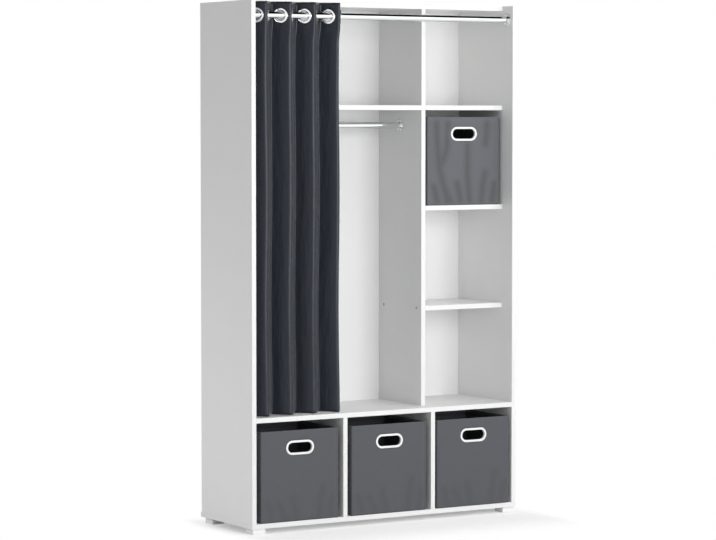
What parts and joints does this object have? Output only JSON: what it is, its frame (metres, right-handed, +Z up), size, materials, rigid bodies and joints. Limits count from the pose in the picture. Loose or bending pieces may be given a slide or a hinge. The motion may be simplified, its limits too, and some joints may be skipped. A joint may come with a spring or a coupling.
{
  "type": "open wardrobe",
  "caption": "Open wardrobe with a hanging bay behind a curtain on a rod, a hat shelf, a shelf column, floor cells and pull-out fabric storage boxes.",
  "frame": {"origin": "on the floor under the middle of the base panel", "axes": "+X to the right seen from the front, +Y from the front to the back, +Z up"},
  "size_m": [1.032, 0.351, 1.7255],
  "materials": {
    "white_board": "white melamine faced chipboard",
    "white_hardboard": "white lacquered hardboard",
    "chrome": "polished",
    "foot_plastic": "white, moulded",
    "beech": "raw",
    "zinc_steel": "zinc plated",
    "curtain_cloth": "woven, dark grey",
    "box_cloth": "non-woven, grey",
    "cardboard": "board lined with black cloth",
    "handle_plastic": "white"
  },
  "bodies": {
    "carcass": {"base_panel": "white_board", "left_side_panel": "white_board", "right_side_panel": "white_board", "top_panel": "white_board", "long_shelf": "white_board", "floor_divider_left": "white_board", "floor_divider_right": "white_board", "upper_divider": "white_board", "hat_shelf": "white_board", "column_shelf_lower": "white_board", "column_shelf_middle": "white_board", "column_shelf_upper": "white_board", "back_panel_left": "white_hardboard", "back_panel_right": "white_hardboard", "curtain_rod": "chrome", "hanging_rail": "chrome", "curtain_rod_socket_left": "chrome", "curtain_rod_socket_right": "chrome", "hanging_rail_socket_left": "chrome", "hanging_rail_socket_right": "chrome", "foot_front_left": "foot_plastic", "foot_front_right": "foot_plastic", "foot_back_left": "foot_plastic", "foot_back_right": "foot_plastic", "wooden_dowels": "beech", "cam_bolts": "zinc_steel", "cam_discs": "zinc_steel", "confirmat_screws": "zinc_steel", "socket_screws": "zinc_steel", "back_nails": "zinc_steel"},
    "curtain": {"curtain_cloth": "curtain_cloth", "curtain_eyelets": "chrome"},
    "lower_left_box": {"lower_left_box_cover": "box_cloth", "lower_left_box_wall_boards": "cardboard", "lower_left_box_base_board": "cardboard", "lower_left_box_handle": "handle_plastic"},
    "lower_middle_box": {"lower_middle_box_cover": "box_cloth", "lower_middle_box_wall_boards": "cardboard", "lower_middle_box_base_board": "cardboard", "lower_middle_box_handle": "handle_plastic"},
    "lower_right_box": {"lower_right_box_cover": "box_cloth", "lower_right_box_wall_boards": "cardboard", "lower_right_box_base_board": "cardboard", "lower_right_box_handle": "handle_plastic"},
    "upper_box": {"upper_box_cover": "box_cloth", "upper_box_wall_boards": "cardboard", "upper_box_base_board": "cardboard", "upper_box_handle": "handle_plastic"}
  },
  "joints": [
    {"name": "curtain_slide", "type": "slide", "parent": "carcass", "child": "curtain", "axis": [1, 0, 0], "range_m": [0, 0.33]},
    {"name": "lower_left_box_slide", "type": "slide", "parent": "carcass", "child": "lower_left_box", "axis": [0, -1, 0], "range_m": [0, 0.28]},
    {"name": "lower_middle_box_slide", "type": "slide", "parent": "carcass", "child": "lower_middle_box", "axis": [0, -1, 0], "range_m": [0, 0.28]},
    {"name": "lower_right_box_slide", "type": "slide", "parent": "carcass", "child": "lower_right_box", "axis": [0, -1, 0], "range_m": [0, 0.28]},
    {"name": "upper_box_slide", "type": "slide", "parent": "carcass", "child": "upper_box", "axis": [0, -1, 0], "range_m": [0, 0.34]}
  ]
}
